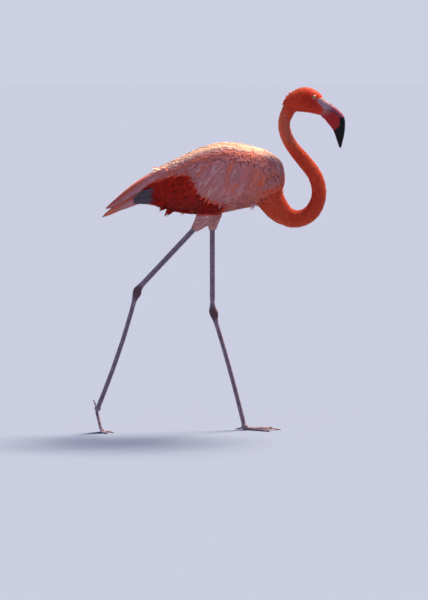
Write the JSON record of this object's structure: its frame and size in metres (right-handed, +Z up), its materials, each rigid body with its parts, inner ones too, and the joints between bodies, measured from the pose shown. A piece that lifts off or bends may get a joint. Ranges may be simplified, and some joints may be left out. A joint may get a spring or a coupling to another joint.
{
  "type": "american flamingo model",
  "caption": "Still life-size model of an adult American flamingo wading, neck in an S, one leg forward and one trailing on its toes.",
  "frame": {"origin": "on the floor under the middle of the bird's length and width", "axes": "+Z up; +X is the way the bird faces and walks; +Y is its left side"},
  "size_m": [0.6562, 0.1618, 0.8988],
  "materials": {
    "scarlet_feather": "matte",
    "cream_pink_feather": "matte",
    "pink_feather": "matte",
    "black_flight_feather": "satin",
    "coral_feather": "matte",
    "thigh_down": "matte",
    "scaly_leg_skin": "satin",
    "claw_horn": "satin",
    "bill_horn": "satin",
    "eye": "gloss"
  },
  "bodies": {
    "root": {"bill_lower": "bill_horn", "bill_upper": "bill_horn", "claw_hind_left": "claw_horn", "claw_hind_right": "claw_horn", "claw_inner_left": "claw_horn", "claw_inner_right": "claw_horn", "claw_middle_left": "claw_horn", "claw_middle_right": "claw_horn", "claw_outer_left": "claw_horn", "claw_outer_right": "claw_horn", "eye_left": "eye", "eye_right": "eye", "foot_left": "scaly_leg_skin", "foot_right": "scaly_leg_skin", "head": "scarlet_feather", "hock_left": "scaly_leg_skin", "hock_right": "scaly_leg_skin", "neck_base": "scarlet_feather", "neck_bend": "scarlet_feather", "neck_middle": "scarlet_feather", "neck_upper": "scarlet_feather", "primaries_left": "black_flight_feather", "primaries_right": "black_flight_feather", "shank_left": "scaly_leg_skin", "shank_right": "scaly_leg_skin", "tail": "coral_feather", "tarsus_left": "scaly_leg_skin", "tarsus_right": "scaly_leg_skin", "tertials_left": "coral_feather", "tertials_right": "coral_feather", "thigh_left": "thigh_down", "thigh_right": "thigh_down", "trunk": "cream_pink_feather", "wing_left": "pink_feather", "wing_right": "pink_feather"}
  },
  "joints": []
}
